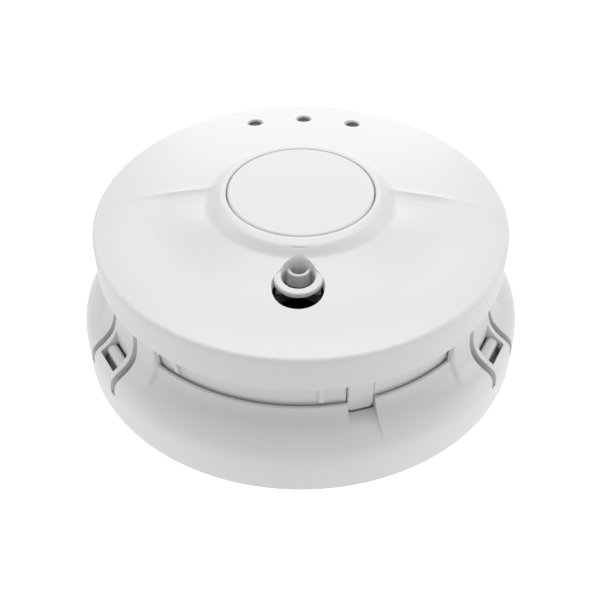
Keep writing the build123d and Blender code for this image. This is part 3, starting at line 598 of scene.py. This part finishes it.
class OBJECT_OT_add_cover(bpy.types.Operator):
    """Adds the domed cover"""

    bl_idname = "detector.add_cover"
    bl_label = "Add the cover"

    def execute(self, context):
        cover = build_cover(context.scene.detector_cover)
        finish_piece(cover, "head", "housing_white", finishes()["housing_white"], "cover")
        return {"FINISHED"}


class OBJECT_OT_add_base(bpy.types.Operator):
    """Adds the ceiling base"""

    bl_idname = "detector.add_base"
    bl_label = "Add the base"

    def execute(self, context):
        base = build_base(context.scene.detector_base)
        finish_piece(base, "base", "housing_white", finishes()["housing_white"], "base_plate")
        return {"FINISHED"}


class OBJECT_OT_add_mesh(bpy.types.Operator):
    """Adds the insect mesh round the sensing chamber"""

    bl_idname = "detector.add_mesh"
    bl_label = "Add the insect mesh"

    def execute(self, context):
        s = context.scene.detector_mesh
        low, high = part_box("insect_mesh")
        radius = (high.x - low.x) / 2 - 2 * s.wire
        height = high.z - low.z - 2 * s.wire
        skin = finishes()["steel"]
        cage = grown("insect_mesh_wires", mesh_tree(), {
            "Wires": s.wires, "Rings": s.rings, "Radius": radius, "Height": height, "Wire radius": s.wire,
            "Material": skin})
        middle = (low + high) / 2
        cage.data.transform(Matrix.Translation((middle.x, middle.y, middle.z)))
        finish_piece(cage, "head", "steel", skin, "insect_mesh")
        return {"FINISHED"}


# name, place in metres, size in metres, power in watts
LIGHTS = (
    ("key", (0.0, 0.2, 1.2), 1.0, 9.2),
    ("back", (0.0, 1.3, 0.5), 0.9, 3.8),
    ("left", (-1.3, 0.1, 0.3), 0.8, 3.0),
    ("right", (1.3, 0.1, 0.3), 0.8, 4.2),
    ("front", (0.0, -1.4, 0.3), 0.9, 1.0),
)
AIM_HEIGHT = 0.00973
WORLD_STRENGTH = 0.33


class OBJECT_OT_add_stage(bpy.types.Operator):
    """Adds the camera, floor and lights"""

    bl_idname = "detector.add_stage"
    bl_label = "Add the stage"

    def execute(self, context):
        s = context.scene.detector_stage
        aim = Vector((0, 0, AIM_HEIGHT))
        turn = s.azimuth - pi / 2
        away = Vector((cos(s.elevation) * cos(turn), cos(s.elevation) * sin(turn), sin(s.elevation)))
        lens = bpy.data.cameras.new("camera")
        lens.lens = s.lens
        lens.sensor_width = 36
        lens.shift_x = -0.0013
        lens.clip_start = 0.01
        camera = bpy.data.objects.new("camera", lens)
        camera.location = aim + s.distance * away
        camera.rotation_euler = (-away).to_track_quat("-Z", "Y").to_euler()
        context.scene.collection.objects.link(camera)
        context.scene.camera = camera
        floor = box("floor", (-3000, -3000, -2), (3000, 3000, -0.05))
        floor.data.materials.append(floor_material())
        for name, place, size, power in LIGHTS:
            data = bpy.data.lights.new(name, "AREA")
            data.size = size
            data.energy = power
            lamp = bpy.data.objects.new(name, data)
            lamp.location = place
            lamp.rotation_euler = (aim - Vector(place)).to_track_quat("-Z", "Y").to_euler()
            context.scene.collection.objects.link(lamp)
        world = bpy.data.worlds.new("studio")
        world.use_nodes = True
        world.node_tree.nodes["Background"].inputs["Color"].default_value = (1, 1, 1, 1)
        world.node_tree.nodes["Background"].inputs["Strength"].default_value = WORLD_STRENGTH
        context.scene.world = world
        context.scene.view_settings.view_transform = "Standard"
        return {"FINISHED"}


class VIEW3D_PT_detector(bpy.types.Panel):
    """Buttons that build the detector"""

    bl_label = "Smoke detector"
    bl_space_type = "VIEW_3D"
    bl_region_type = "UI"
    bl_category = "Smoke detector"

    def draw(self, context):
        for operator in OPERATORS:
            self.layout.operator(operator.bl_idname)


OPERATORS = (
    OBJECT_OT_dress_cad,
    OBJECT_OT_add_cover,
    OBJECT_OT_add_base,
    OBJECT_OT_add_mesh,
    OBJECT_OT_add_stage,
)
SETTINGS = {
    "detector_cover": CoverSettings,
    "detector_base": BaseSettings,
    "detector_mesh": MeshSettings,
    "detector_stage": StageSettings,
}


def register():
    for name, group in SETTINGS.items():
        bpy.utils.register_class(group)
        setattr(bpy.types.Scene, name, PointerProperty(type=group))
    for c in OPERATORS + (VIEW3D_PT_detector,):
        bpy.utils.register_class(c)


def unregister():
    for c in reversed(OPERATORS + (VIEW3D_PT_detector,)):
        bpy.utils.unregister_class(c)
    for name, group in reversed(list(SETTINGS.items())):
        delattr(bpy.types.Scene, name)
        bpy.utils.unregister_class(group)


def main():
    """Builds the whole detector."""
    register()
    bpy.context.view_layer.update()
    bpy.ops.detector.dress_cad()
    bpy.ops.detector.add_cover()
    bpy.ops.detector.add_base()
    bpy.ops.detector.add_mesh()
    bpy.ops.detector.add_stage()


if __name__ == "__main__":
    main()
